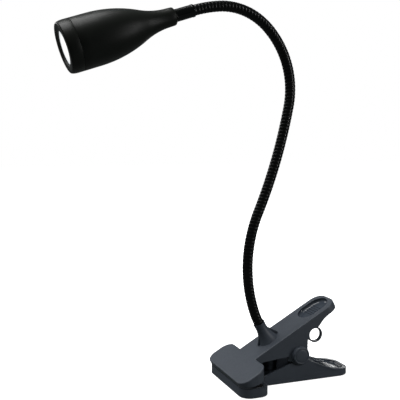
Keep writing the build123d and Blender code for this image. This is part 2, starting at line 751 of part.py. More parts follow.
sink_front = BOARD_FRONT + BOARD_THICKNESS
with BuildPart() as heat_sink:
    with BuildSketch(head_plane(sink_front)):
        Circle(BEZEL_SKIRT_R)
    extrude(amount=SINK_BASE)
    with BuildSketch(head_plane(sink_front + SINK_BASE)):
        Circle(SINK_CORE_R)
        with PolarLocations(SINK_R / 2, SINK_FINS, start_angle=180 / SINK_FINS):
            Rectangle(SINK_R, SINK_FIN)
    extrude(amount=SINK_LENGTH - SINK_BASE)
    with BuildSketch(head_plane(sink_front)):
        with GridLocations(2 * SCREW_OFFSET, 0, 2, 1):
            Circle(SCREW_R)
        with GridLocations(0, 2 * LEAD_OFFSET, 1, 2):
            Circle(LEAD_HOLE_R)
    extrude(amount=SINK_BASE, mode=Mode.SUBTRACT)
save(heat_sink, "heat_sink")

with BuildPart() as screws:
    with BuildSketch(head_plane(BOARD_FRONT)):
        with GridLocations(2 * SCREW_OFFSET, 0, 2, 1):
            Circle(SCREW_HEAD_R)
    extrude(amount=-SCREW_HEAD)
    with BuildSketch(head_plane(BOARD_FRONT)):
        with GridLocations(2 * SCREW_OFFSET, 0, 2, 1):
            Circle(SCREW_R)
    extrude(amount=BOARD_THICKNESS + SINK_BASE)
save(screws, "board_screws")

stud_start = REAR_PLUG_START - TOP_NUT_HEIGHT - 1.0
stud_end = HEAD_LENGTH + FERRULE_LENGTH - NECK_IN_FERRULE
with BuildPart() as top_stud:
    with BuildSketch(head_plane(stud_start)):
        Circle(TOP_STUD_R)
        Circle(TOP_STUD_BORE_R, mode=Mode.SUBTRACT)
    extrude(amount=stud_end - stud_start)
save(top_stud, "head_stud")
nut_plane = head_plane(REAR_PLUG_START - TOP_NUT_HEIGHT)
save(hex_nut(nut_plane, TOP_NUT_ACROSS, TOP_NUT_HEIGHT, TOP_STUD_R), "head_nut")

with BuildPart() as leads:
    for side in (-1, 1):
        route = [
            (stud_end - 2, side * 0.9),
            (stud_start - 3, side * 0.9),
            (sink_front + SINK_LENGTH + 10, side * 5.5),
            (sink_front + SINK_LENGTH - 2, side * LEAD_OFFSET),
            (sink_front, side * LEAD_OFFSET),
        ]
        with BuildLine(head_side):
            FilletPolyline(*route, radius=6)
        with BuildSketch(Plane(origin=head_side.from_local_coords((*route[0], 0)), z_dir=backward)):
            Circle(LEAD_R)
        sweep()
save(leads, "led_leads")

with BuildPart() as ferrule:
    with BuildSketch(head_side):
        Polygon(
            (HEAD_LENGTH, TOP_STUD_R),
            (HEAD_LENGTH, FERRULE_R),
            (HEAD_LENGTH + FERRULE_LENGTH - 1.0, FERRULE_MOUTH_R + 0.15),
            (HEAD_LENGTH + FERRULE_LENGTH, FERRULE_MOUTH_R),
            (HEAD_LENGTH + FERRULE_LENGTH, NECK_R),
            (stud_end, NECK_R),
            (stud_end, TOP_STUD_R),
            align=None,
        )
    revolve(axis=head_axis)
save(ferrule, "neck_ferrule")
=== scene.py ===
import bpy
from math import atan, ceil, cos, pi, radians, sin, sqrt
from mathutils import Matrix, Vector


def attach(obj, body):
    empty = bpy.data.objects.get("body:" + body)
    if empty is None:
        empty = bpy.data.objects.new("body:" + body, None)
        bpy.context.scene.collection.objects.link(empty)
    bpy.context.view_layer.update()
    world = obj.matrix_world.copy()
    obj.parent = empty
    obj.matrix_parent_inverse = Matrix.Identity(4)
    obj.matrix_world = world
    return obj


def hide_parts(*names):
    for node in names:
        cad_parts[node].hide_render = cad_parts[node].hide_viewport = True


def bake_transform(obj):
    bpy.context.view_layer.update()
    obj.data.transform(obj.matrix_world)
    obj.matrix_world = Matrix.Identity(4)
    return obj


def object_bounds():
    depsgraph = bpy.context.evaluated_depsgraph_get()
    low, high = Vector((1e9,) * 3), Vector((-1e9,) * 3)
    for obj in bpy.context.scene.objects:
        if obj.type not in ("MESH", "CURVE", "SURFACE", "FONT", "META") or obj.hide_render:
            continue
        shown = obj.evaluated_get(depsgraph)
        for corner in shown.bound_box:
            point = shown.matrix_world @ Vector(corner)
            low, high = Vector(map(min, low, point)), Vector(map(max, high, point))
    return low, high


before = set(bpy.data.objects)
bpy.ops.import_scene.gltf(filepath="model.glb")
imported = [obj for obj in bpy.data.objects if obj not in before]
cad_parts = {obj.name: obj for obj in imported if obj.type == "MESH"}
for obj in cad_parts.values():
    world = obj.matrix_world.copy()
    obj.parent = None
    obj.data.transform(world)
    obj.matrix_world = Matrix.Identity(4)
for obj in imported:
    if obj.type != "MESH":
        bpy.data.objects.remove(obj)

cad_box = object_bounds()

# Clip-on reading lamp. Lengths of its parts are in millimetres, in the clip's own frame: +Z up, +X from the
# jaws to the grips, Y along the pivot pin. vec() turns them into Blender's metres. The stage is in metres.

METRES = 0.001
X_DIR, Y_DIR, Z_DIR = Vector((1, 0, 0)), Vector((0, 1, 0)), Vector((0, 0, 1))

# the upper lever's top face runs along ALONG and faces NORMAL, and the neck's boss stands on it at FOOT
SLOPE = radians(29)
ALONG = Vector((cos(SLOPE), 0, sin(SLOPE)))
NORMAL = Vector((-sin(SLOPE), 0, cos(SLOPE)))
FOOT = Vector((30, 0, 25))
PIVOT = FOOT + ALONG * 13.2 - NORMAL * 19.3
LEVER_HALF = 14.5

# the neck's (length, turn in degrees) from its foot to its tip, and how it is wound
NECK_RUNS = [(14, 0), (8, -9.0), (82, -43.3), (85, 12.3), (64, 56.7), (43, 50.4), (21, 12.1), (12, 0)]
NECK_IN_SLEEVE, NECK_IN_FERRULE = 14.0, 12.0
NECK_START = FOOT + NORMAL * 2
NECK_LENGTH = sum(length for length, _ in NECK_RUNS)
NECK_JOINTS = 12
JOINT_SPACING = (NECK_LENGTH - NECK_IN_SLEEVE - NECK_IN_FERRULE) / NECK_JOINTS
GROOVE_R, RIB_HEIGHT, RIB_PITCH = 3.79, 0.21, 2.7
RIB_ROWS, ROUND_COLUMNS = 10, 28

# the head, with distances from its front face
HEAD_LENGTH, HEAD_R, HEAD_WALL = 84.2, 18.6, 2.4
SHOULDER_START, SHOULDER_LENGTH, CONVEX_SHARE = 22.0, 58.0, 0.635
COLLAR_R, INSIDE_END, HEAD_STUD_R = 6.7, 70, 3.6
BEZEL_LENGTH, BEZEL_SEAT_R = 16.5, 17.1
LENS_FRONT, LENS_BACK, LENS_SEAT_R, WINDOW_R = 1.9, 3.9, 14.0, 12.2
FERRULE_LENGTH = 15.4


def vec(point):
    """A point given in millimetres, in metres."""
    return Vector(point) * METRES


def neck_at(distance):
    """Point, and heading in radians, at a distance along the neck from its lower end."""
    point = NECK_START
    heading = SLOPE + pi / 2
    left = distance
    for length, turn in NECK_RUNS:
        step = min(left, length)
        swing = radians(turn) * step / length
        chord = step * sin(swing / 2) / (swing / 2) if swing else step
        point = point + Vector((cos(heading + swing / 2), 0, sin(heading + swing / 2))) * chord
        heading += swing
        left -= step
    return point, heading


# ---- materials ----
POLISHED_ROUGHNESS, POLISHED_BUMP = 0.10, 0.1


def new_material(name):
    mat = bpy.data.materials.new(name)
    mat.use_nodes = True
    nodes, links = mat.node_tree.nodes, mat.node_tree.links
    return mat, nodes, links, nodes["Principled BSDF"]


def add(nodes, kind, **settings):
    """A new shader node. Its settings are its inputs by name, with _ for a space."""
    node = nodes.new("ShaderNode" + kind)
    for name, value in settings.items():
        node.inputs[name.replace("_", " ")].default_value = value
    return node


def calculate(nodes, operation):
    node = nodes.new("ShaderNodeMath")
    node.operation = operation
    return node


def two_tone(nodes, low, dark, high, light):
    """A colour ramp from dark, where its factor is low, to light, where it is high."""
    node = nodes.new("ShaderNodeValToRGB")
    first, last = node.color_ramp.elements
    first.position, first.color = low, (*dark, 1)
    last.position, last.color = high, (*light, 1)
    return node


def inside(nodes, links, limits):
    """A mask that is 1 within limits, a list of (direction, lowest, highest) in mm from the origin."""
    place = nodes.new("ShaderNodeTexCoord")
    mask = None
    for direction, low, high in limits:
        dot = nodes.new("ShaderNodeVectorMath")
        dot.operation = "DOT_PRODUCT"
        dot.inputs[1].default_value = direction
        links.new(place.outputs["Object"], dot.inputs[0])
        near = calculate(nodes, "COMPARE")
        near.inputs[1].default_value = (low + high) / 2 * METRES
        near.inputs[2].default_value = (high - low) / 2 * METRES
        links.new(dot.outputs["Value"], near.inputs[0])
        if mask:
            both = calculate(nodes, "MULTIPLY")
            links.new(mask, both.inputs[0])
            links.new(near.outputs["Value"], both.inputs[1])
            mask = both.outputs["Value"]
        else:
            mask = near.outputs["Value"]
    return mask


def surface(name, dark, light, rough, mottle, grain, depth, stretch=(1, 1, 1), polish=None, **fixed):
    """Moulded plastic, rubber or metal: two close colours in soft patches, uneven gloss and a fine bump.
    rough is (smoothest, roughest) and mottle the patches' scale. grain is the size of the bump's grains and
    depth its height, in mm. polish is where the mould was polished, as limits for inside()."""
    mat, nodes, links, bsdf = new_material(name)
    place = nodes.new("ShaderNodeTexCoord")
    mapping = add(nodes, "Mapping", Scale=stretch)
    links.new(place.outputs["Object"], mapping.inputs["Vector"])

    def noise(scale, detail, roughness):
        node = add(nodes, "TexNoise", Scale=scale, Detail=detail, Roughness=roughness)
        links.new(mapping.outputs["Vector"], node.inputs["Vector"])
        return node.outputs["Fac"]

    colour = two_tone(nodes, 0.32, dark, 0.7, light)
    links.new(noise(mottle, 6, 0.55), colour.inputs["Fac"])
    links.new(colour.outputs["Color"], bsdf.inputs["Base Color"])
    spread = add(nodes, "MapRange", From_Min=0.3, From_Max=0.7, To_Min=rough[0], To_Max=rough[1])
    links.new(noise(mottle * 9, 8, 0.7), spread.inputs["Value"])
    bump = add(nodes, "Bump", Strength=1.0, Distance=depth * METRES)
    links.new(noise(1 / (grain * METRES), 3, 0.6), bump.inputs["Height"])
    links.new(bump.outputs["Normal"], bsdf.inputs["Normal"])
    gloss = spread.outputs["Result"]
    if polish:
        mask = inside(nodes, links, polish)
        smooth = add(nodes, "Mix", B=POLISHED_ROUGHNESS)
        links.new(mask, smooth.inputs["Factor"])
        links.new(gloss, smooth.inputs["A"])
        gloss = smooth.outputs["Result"]
        flat = add(nodes, "MapRange", To_Min=1.0, To_Max=POLISHED_BUMP)
        links.new(mask, flat.inputs["Value"])
        links.new(flat.outputs["Result"], bump.inputs["Strength"])
    links.new(gloss, bsdf.inputs["Roughness"])
    for socket, value in fixed.items():
        bsdf.inputs[socket.replace("_", " ")].default_value = value
    return mat


plastic = {
    "dark": (0.046, 0.055, 0.070), "light": (0.053, 0.063, 0.080), "rough": (0.42, 0.54), "mottle": 55,
    "grain": 0.55, "depth": 0.02, "Specular_IOR_Level": 0.42,
}
foot_along, foot_up = FOOT.dot(ALONG), FOOT.dot(NORMAL)
upper_dish = [
    (ALONG, foot_along + 31.9, foot_along + 59.1),
    (NORMAL, foot_up - 3.2, foot_up - 0.3),
    (Y_DIR, -9.6, 9.6),
]
lower_pan = [(X_DIR, 65.9, 94.6), (Z_DIR, -6.9, 7.0), (Y_DIR, -11.6, 11.6)]
clip_plastic = surface("clip_plastic", **plastic)
upper_plastic = surface("upper_clip_plastic", **plastic, polish=upper_dish)
lower_plastic = surface("lower_clip_plastic", **plastic, polish=lower_pan)
head_plastic = surface(
    "head_plastic", (0.0066, 0.0076, 0.0062), (0.0086, 0.0096, 0.0080), (0.36, 0.42), mottle=45,
    grain=0.9, depth=0.005, Specular_IOR_Level=0.14,
)
pad_rubber = surface(
    "pad_rubber", (0.012, 0.012, 0.013), (0.022, 0.022, 0.024), (0.72, 0.88), mottle=120,
    grain=0.4, depth=0.03, Specular_IOR_Level=0.3,
)
grommet_rubber = surface(
    "grommet_rubber", (0.010, 0.010, 0.011), (0.018, 0.018, 0.019), (0.6, 0.75), mottle=200,
    grain=0.3, depth=0.015,
)
zinc_steel = surface(
    "zinc_steel", (0.50, 0.51, 0.53), (0.66, 0.67, 0.68), (0.24, 0.42), mottle=160,
    grain=0.25, depth=0.006, Metallic=1.0,
)
spring_steel = surface(
    "spring_steel", (0.30, 0.31, 0.33), (0.44, 0.45, 0.47), (0.22, 0.36), mottle=300,
    grain=0.2, depth=0.004, Metallic=1.0,
)
cable_sheath = surface(
    "cable_sheath", (0.012, 0.012, 0.012), (0.020, 0.020, 0.020), (0.45, 0.6), mottle=150,
    grain=0.3, depth=0.01,
)
ferrule_black = surface(
    "ferrule_black", (0.0008, 0.0012, 0.0008), (0.0016, 0.0020, 0.0016), (0.13, 0.19), mottle=70,
    grain=0.5, depth=0.003, Specular_IOR_Level=0.26,
)
turned_aluminium = surface(
    "turned_aluminium", (0.68, 0.69, 0.70), (0.82, 0.83, 0.84), (0.18, 0.32), mottle=60, stretch=(1, 6, 6),
    grain=0.3, depth=0.004, Metallic=1.0,
)
bare_aluminium = surface(
    "bare_aluminium", (0.55, 0.56, 0.58), (0.70, 0.71, 0.72), (0.34, 0.5), mottle=90, stretch=(1, 5, 5),
    grain=0.35, depth=0.01, Metallic=1.0,
)
board_white = surface(
    "board_white", (0.74, 0.75, 0.73), (0.84, 0.85, 0.83), (0.35, 0.5), mottle=220, grain=0.4, depth=0.006,
)
phosphor = surface(
    "phosphor", (0.80, 0.58, 0.06), (0.90, 0.72, 0.12), (0.25, 0.4), mottle=600, grain=0.15, depth=0.01,
)
lead_sheath = surface(
    "lead_sheath", (0.34, 0.02, 0.015), (0.44, 0.03, 0.02), (0.4, 0.55), mottle=200, grain=0.2, depth=0.005,
)


def ribbed_black():
    """The gooseneck's black coat: glossy and a little paler on the ribs' crests, dull between them."""
    mat, nodes, links, bsdf = new_material("ribbed_black")
    crest = nodes.new("ShaderNodeAttribute")
    crest.attribute_name = "crest"
    place = nodes.new("ShaderNodeTexCoord")
    patches = add(nodes, "TexNoise", Scale=130, Detail=8)
    links.new(place.outputs["Object"], patches.inputs["Vector"])
    wear = calculate(nodes, "MULTIPLY")
    links.new(crest.outputs["Fac"], wear.inputs[0])
    links.new(patches.outputs["Fac"], wear.inputs[1])
    colour = two_tone(nodes, 0.1, (0.0006, 0.0007, 0.0006), 0.62, (0.0020, 0.0022, 0.0020))
    links.new(wear.outputs["Value"], colour.inputs["Fac"])
    links.new(colour.outputs["Color"], bsdf.inputs["Base Color"])
    gloss = add(nodes, "MapRange", To_Min=0.55, To_Max=0.2)
    links.new(crest.outputs["Fac"], gloss.inputs["Value"])
    links.new(gloss.outputs["Result"], bsdf.inputs["Roughness"])
    fine = add(nodes, "TexNoise", Scale=4000)
    links.new(place.outputs["Object"], fine.inputs["Vector"])
    bump = add(nodes, "Bump", Distance=0.000006)
    links.new(fine.outputs["Fac"], bump.inputs["Height"])
    links.new(bump.outputs["Normal"], bsdf.inputs["Normal"])
    bsdf.inputs["Specular IOR Level"].default_value = 0.2
    return mat


def lit_lens():
    """Frosted window, lit from behind: brightest in the middle, with a fine frost."""
    mat, nodes, links, bsdf = new_material("lens_frosted")
    ring = nodes.new("ShaderNodeAttribute")
    ring.attribute_name = "ring"
    glow = two_tone(nodes, 0.45, (1.0, 1.0, 0.99), 1.0, (0.72, 0.75, 0.78))
    links.new(ring.outputs["Fac"], glow.inputs["Fac"])
    links.new(glow.outputs["Color"], bsdf.inputs["Emission Color"])
    bsdf.inputs["Emission Strength"].default_value = 0.85
    place = nodes.new("ShaderNodeTexCoord")
    frost = add(nodes, "TexNoise", Scale=3500)
    links.new(place.outputs["Object"], frost.inputs["Vector"])
    tint = two_tone(nodes, 0.0, (0.80, 0.82, 0.82), 1.0, (0.93, 0.94, 0.93))
    links.new(frost.outputs["Fac"], tint.inputs["Fac"])
    links.new(tint.outputs["Color"], bsdf.inputs["Base Color"])
    bump = add(nodes, "Bump", Distance=0.00002)
    links.new(frost.outputs["Fac"], bump.inputs["Height"])
    links.new(bump.outputs["Normal"], bsdf.inputs["Normal"])
    bsdf.inputs["Roughness"].default_value = 0.4
    return mat


ribbed = ribbed_black()
lens_frosted = lit_lens()

# ---- the CAD nodes that stay, each with its finish ----
finishes = {
    "upper_lever": upper_plastic,
    "lower_lever": lower_plastic,
    "pivot_pin": zinc_steel,
    "neck_lock_washer": zinc_steel,
    "head_nut": zinc_steel,
    "head_stud": zinc_steel,
    "board_screws": zinc_steel,
    "reflector": turned_aluminium,
    "led_board": board_white,
    "led_chip": phosphor,
    "heat_sink": bare_aluminium,
    "led_leads": lead_sheath,
}
for number in range(NECK_JOINTS + 1):
    finishes[f"neck_cable_{number:02d}"] = cable_sheath
for node, finish in finishes.items():
    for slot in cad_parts[node].material_slots:
        slot.material = finish


# ---- mesh makers ----
def new_piece(name, points, faces, material, slot, body=None, replaces=(), sharp=35, floats=None):
    """A piece from points in mm, shaded smooth but for edges sharper than that many degrees.
    floats are named values for the points, which its material reads."""
    mesh = bpy.data.meshes.new(name)
    mesh.from_pydata([vec(point) for point in points], [], faces)
    mesh.polygons.foreach_set("use_smooth", [True] * len(mesh.polygons))
    mesh.set_sharp_from_angle(angle=radians(sharp))
    for label, values in (floats or {}).items():
        layer = mesh.attributes.new(label, "FLOAT", "POINT")
        layer.data.foreach_set("value", values)
    mesh.materials.append(material)
    mesh.update()
    piece = bpy.data.objects.new(name, mesh)
    bpy.context.scene.collection.objects.link(piece)
    if replaces:
        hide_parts(*replaces)
    if body:
        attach(piece, body)
    return piece


def soften(profile, reach, steps=4):
    """A closed outline of (x, y) points with each corner rounded over at most that reach."""
    result = []
    count = len(profile)
    for index, corner in enumerate(profile):
        here = Vector(corner)
        before, after = Vector(profile[index - 1]) - here, Vector(profile[(index + 1) % count]) - here
        if before.length < 1e-6 or after.length < 1e-6:
            continue
        straight = before.normalized().dot(after.normalized()) < -0.995
        if straight or abs(here.y) < 1e-6:
            result.append(here)
            continue
        first = here + before.normalized() * min(reach, before.length * 0.45)
        last = here + after.normalized() * min(reach, after.length * 0.45)
        for step in range(steps + 1):
            t = step / steps
            result.append(first * (1 - t) ** 2 + here * 2 * t * (1 - t) + last * t ** 2)
    return result


def turn(name, origin, axis, profile, material, slot, segments=96, **how):
    """A solid turned round an axis from a closed outline of (distance along it, radius).
    Its float ring is each point's radius over the largest one."""
    axis = axis.normalized()
    side = axis.cross(Y_DIR if abs(axis.y) < 0.9 else X_DIR).normalized()
    other = axis.cross(side)
    points, rows, floats = [], [], []
    widest = max(radius for _, radius in profile)
    for distance, radius in profile:
        if radius < 1e-6:
            rows.append([len(points)] * segments)
            points.append(origin + axis * distance)
            floats.append(0.0)
            continue
        rows.append(range(len(points), len(points) + segments))
        for index in range(segments):
            angle = 2 * pi * index / segments
            points.append(origin + axis * distance + (side * cos(angle) + other * sin(angle)) * radius)
            floats.append(radius / widest)
    faces = []
    for row, following in zip(rows, rows[1:] + rows[:1]):
        for index in range(segments):
            after = (index + 1) % segments
            corners = [row[index], following[index], following[after], row[after]]
            face = list(dict.fromkeys(corners))
            if len(face) > 2:
                faces.append(face)
    return new_piece(name, points, faces, material, slot, floats={"ring": floats}, **how)


def wire(name, path, radius, material, slot, segments=16, **how):
    """A round wire along a path, with rounded ends."""
    path = [Vector(point) for point in path]
    start, stop = (path[1] - path[0]).normalized(), (path[-1] - path[-2]).normalized()
    caps = [(1.0, 0.0), (0.92, 0.39), (0.7, 0.71), (0.38, 0.92)]
    spine = [(path[0] + start * radius * (1 - back), radius * out) for back, out in caps]
    spine += [(point, radius) for point in path[1:-1]]
    spine += [(path[-1] - stop * radius * (1 - back), radius * out) for back, out in reversed(caps)]
    points, faces = [], []
    across = start.orthogonal().normalized()
    centres = [centre for centre, _ in spine]
    for index, (centre, size) in enumerate(spine):
        low, high = centres[max(index - 1, 0)], centres[min(index + 1, len(spine) - 1)]
        tangent = (high - low).normalized()
        across = (across - tangent * across.dot(tangent)).normalized()
        up = tangent.cross(across)
        for step in range(segments):
            angle = 2 * pi * step / segments
            points.append(centre + (across * cos(angle) + up * sin(angle)) * max(size, radius * 0.02))
    for index in range(len(spine) - 1):
        for step in range(segments):
            a, b = index * segments + step, index * segments + (step + 1) % segments
            faces.append([a, b, b + segments, a + segments])
    faces.append(list(reversed(range(segments))))
    faces.append(list(range(len(points) - segments, len(points))))
    return new_piece(name, points, faces, material, slot, **how)


# ---- gooseneck: one wound tube, in a piece for each joint ----
ROW_STEP = RIB_PITCH / RIB_ROWS


def rib(row):
    """How far up a rib's side that row of points is, from 0 in the groove to 1 on the crest."""
    return abs(cos(pi * row / RIB_ROWS)) ** 0.7


def neck_piece(number):
    """The stretch of gooseneck from the middle of one rigid length to the middle of the next."""
    joint = NECK_IN_SLEEVE + (number + 0.5) * JOINT_SPACING
    begin, end = joint - JOINT_SPACING / 2, joint + JOINT_SPACING / 2
    replaced = [f"neck_tube_{number:02d}"]
    if number == 0:
        begin = 0.0
    if number == NECK_JOINTS - 1:
        end = NECK_LENGTH - RIB_PITCH
        replaced.append(f"neck_tube_{NECK_JOINTS:02d}")
    points, crests, index = [], [], {}

    def corner(row, column):
        # the winding rises by one rib in a turn, so the last column is the first one of a rib further on
        if column == ROUND_COLUMNS:
            row, column = row + RIB_ROWS, 0
        if (row, column) not in index:
            centre, heading = neck_at(row * ROW_STEP + RIB_PITCH * column / ROUND_COLUMNS)
            outward = Vector((-sin(heading), 0, cos(heading)))
            angle = 2 * pi * column / ROUND_COLUMNS
            radius = GROOVE_R + RIB_HEIGHT * rib(row)
            index[row, column] = len(points)
            points.append(centre + (Y_DIR * cos(angle) + outward * sin(angle)) * radius)
            crests.append(rib(row))
        return index[row, column]

    faces = []
    for row in range(round(begin / ROW_STEP), round(end / ROW_STEP)):
        for column in range(ROUND_COLUMNS):
            corners = [(row, column), (row + 1, column), (row + 1, column + 1), (row, column + 1)]
            faces.append([corner(*place) for place in corners])
    piece = new_piece(
        f"gooseneck_{number:02d}", points, faces, ribbed, "neck_steel", replaces=replaced, sharp=70,
        floats={"crest": crests},
    )
    reach = JOINT_SPACING / 2 - RIB_PITCH
    low, high = neck_at(joint - reach)[0], neck_at(joint + reach)[0]
    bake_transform(piece)


for number in range(NECK_JOINTS):
    neck_piece(number)

# ---- head ----
neck_end, head_heading = neck_at(NECK_LENGTH - NECK_IN_FERRULE)
BACKWARD = Vector((-cos(head_heading), 0, -sin(head_heading)))
HEAD_FRONT = neck_end - BACKWARD * (FERRULE_LENGTH + HEAD_LENGTH)

# the shoulder is two arcs that meet smoothly, a convex one and then a concave one
SHOULDER_END = SHOULDER_START + SHOULDER_LENGTH
shoulder_angle = 2 * atan((HEAD_R - COLLAR_R) / SHOULDER_LENGTH)
both_radii = SHOULDER_LENGTH / sin(shoulder_angle)
convex_r = both_radii * CONVEX_SHARE
concave_r = both_radii - convex_r


def shoulder(inset, steps=22):
    """Points down the head's bottle-shaped shoulder, that far inside its outer skin."""
    convex, concave = convex_r - inset, concave_r + inset
    points = []
    for step in range(steps + 1):
        angle = shoulder_angle * step / steps
        points.append((SHOULDER_START + convex * sin(angle), HEAD_R - inset - convex * (1 - cos(angle))))
    for step in range(1, steps + 1):
        angle = shoulder_angle * (1 - step / steps)
        points.append((SHOULDER_END - concave * sin(angle), COLLAR_R - inset + concave * (1 - cos(angle))))
    return points


rim = [(8.8, 18.3), (8.82, 18.5), (8.92, HEAD_R), (15, HEAD_R)]
collar = [(83.0, 6.55), (83.6, 6.35), (84.0, 5.9), (HEAD_LENGTH, 5.2)]
inner_shoulder = [(distance, radius) for distance, radius in shoulder(HEAD_WALL) if distance < INSIDE_END]
back_wall = [(HEAD_LENGTH, HEAD_STUD_R), (INSIDE_END, HEAD_STUD_R), (INSIDE_END, inner_shoulder[-1][1])]
bezel_seat = [(18.5, HEAD_R - HEAD_WALL), (18.5, BEZEL_SEAT_R + 0.05), (8.8, BEZEL_SEAT_R + 0.05)]
turn(
    "head_shell_skin", HEAD_FRONT, BACKWARD,
    rim + shoulder(0) + collar + back_wall + inner_shoulder[::-1] + bezel_seat,
    head_plastic, "head_plastic", segments=128, body="head", replaces=["head_shell"], sharp=50,
)

bezel_face = [(LENS_FRONT, WINDOW_R), (0.5, 12.18), (0.32, 12.25), (0.22, 12.5), (0.06, 16.1), (0.0, 16.5)]
bezel_round = [
    (0.02, 16.95), (0.2, 17.5), (0.55, 17.85), (1.1, 18.05), (2.2, 18.33), (3.5, 18.52), (5.2, HEAD_R),
]
bezel_seam = [(8.5, HEAD_R), (8.62, 18.54), (8.68, 18.4), (8.7, 18.3), (8.75, BEZEL_SEAT_R)]
bezel_inside = [
    (BEZEL_LENGTH, BEZEL_SEAT_R), (BEZEL_LENGTH, 15.45), (LENS_BACK, 15.4),
    (LENS_BACK, LENS_SEAT_R), (LENS_FRONT, LENS_SEAT_R),
]
turn(
    "front_bezel_ring", HEAD_FRONT, BACKWARD, bezel_face + bezel_round + bezel_seam + bezel_inside,
    head_plastic, "head_plastic", segments=128, body="head", replaces=["front_bezel"], sharp=40,
)

# the window bulges forward and has fine V-shaped rings moulded into it, but for its middle
LENS_R, LENS_BULGE = LENS_SEAT_R - 0.05, 0.75
RING_DEPTH, RING_STEPS, RINGLESS_R = 0.045, 56, 4
lens_face = []
for step in range(RING_STEPS + 1):
    radius = LENS_R * (1 - step / RING_STEPS)
    dent = RING_DEPTH if step % 2 and radius > RINGLESS_R else 0
    lens_face.append((LENS_FRONT + 0.05 - LENS_BULGE * (1 - (radius / LENS_R) ** 2) + dent, radius))
turn(
    "lens_window", HEAD_FRONT, BACKWARD, [(LENS_BACK - 0.02, LENS_R), *lens_face, (LENS_BACK - 0.02, 0)],
    lens_frosted, "lens_frosted", segments=96, body="head", replaces=["lens"], sharp=60,
)

mouth = HEAD_LENGTH + FERRULE_LENGTH
neck_stop = mouth - NECK_IN_FERRULE
ferrule_outline = [
    (HEAD_LENGTH, HEAD_STUD_R), (HEAD_LENGTH, 4.72), (85.0, 4.72), (85.2, 4.6), (mouth - 1.7, 4.52),
    (mouth - 1.5, 4.72), (mouth, 4.66), (mouth, 4.02), (neck_stop, 4.02), (neck_stop, HEAD_STUD_R),
]
turn(
    "ferrule_tube", HEAD_FRONT, BACKWARD, soften(ferrule_outline, 0.25),
    ferrule_black, "ferrule_steel", segments=72, body="head", replaces=["neck_ferrule"], sharp=40,
)

# ---- clip hardware ----
# a button pressed on each end of the pin, with a ring sunk into its face
cap_outline = [
    (0, 2.0), (0, 6.9), (2.5, 6.9), (3.0, 6.82), (3.35, 6.6), (3.55, 6.25), (3.6, 5.9), (3.58, 5.7),
    (3.3, 5.5), (3.26, 5.3), (3.34, 5.1), (3.55, 4.9), (3.66, 4.2), (3.74, 3.0), (3.78, 1.5), (3.8, 0),
    (2.2, 0), (2.2, 2.0),
]
for side, name in ((-1, "pivot_cap_near"), (1, "pivot_cap_far")):
    turn(
        name + "_button", Vector((PIVOT.x, side * LEVER_HALF, PIVOT.z)), Y_DIR * side, cap_outline,
        clip_plastic, "clip_plastic", segments=72, body="upper_clip", replaces=[name], sharp=55,
    )

GROMMET_LENGTH, GROMMET_BORE_R, FLANGE_R, WAIST_R = 4.6, 1.9, 4.2, 3.2
end, flange = GROMMET_LENGTH / 2, 1.2
grommet_outline = [
    (-end, GROMMET_BORE_R), (-end, FLANGE_R), (-flange, FLANGE_R), (-flange, WAIST_R),
    (flange, WAIST_R), (flange, FLANGE_R), (end, FLANGE_R), (end, GROMMET_BORE_R),
]
turn(
    "cord_grommet", FOOT + ALONG * 25.6 - NORMAL * 8.2, ALONG, soften(grommet_outline, 0.45),
    grommet_rubber, "grommet_rubber", segments=48, body="upper_clip", replaces=["cord_inlet_grommet"],
    sharp=40,
)

THREADS, THREAD_TOP = 6, -3.0
thread = [(2.0, 2.4), (2.0, 4.7), (1.7, 5.0), (-2.8, 5.0)]
for number in range(THREADS):
    top = THREAD_TOP - number
    thread += [(top, 4.98), (top - 0.2, 4.95), (top - 0.5, 4.5), (top - 0.6, 4.5), (top - 0.9, 4.95)]
thread += [(-8.95, 4.6), (-9.0, 4.4), (-9.0, 2.6), (-8.85, 2.4)]
turn(
    "threaded_stud", FOOT, NORMAL, thread, zinc_steel, "zinc_steel", segments=64, body="upper_clip",
    replaces=["neck_stud"], sharp=35,
)


def hexagon_nut(name, base, axis, across, height, bore, segments=72, **how):
    """A nut of that size across its flats, its corners turned off and its bore countersunk at both ends."""
    side = axis.cross(Y_DIR).normalized()
    other = axis.cross(side)
    countersink, corner_slope = 0.45, 0.62
    points, faces = [], []
    for index in range(segments):
        angle = 2 * pi * index / segments
        flat = across / 2 / cos((angle + pi / 6) % (pi / 3) - pi / 6)
        drop = (flat - across / 2) * corner_slope + 0.08
        ring = [
            (countersink, bore), (0, bore + countersink), (0, across / 2 - 0.15), (drop, flat - 0.02),
            (height - drop, flat - 0.02), (height, across / 2 - 0.15), (height, bore + countersink),
            (height - countersink, bore),
        ]
        for distance, radius in ring:
            points.append(base + axis * distance + (side * cos(angle) + other * sin(angle)) * radius)
    size = len(ring)
    for index in range(segments):
        here, following = index * size, (index + 1) % segments * size
        for step in range(size):
            after = (step + 1) % size
            faces.append([here + step, following + step, following + after, here + after])
    return new_piece(name, points, faces, zinc_steel, "zinc_steel", sharp=25, **how)


hexagon_nut(
    "neck_fixing_nut", FOOT - NORMAL * 7.6, NORMAL, across=15.0, height=4.0, bore=5.0, body="upper_clip",
    replaces=["neck_nut"],
)
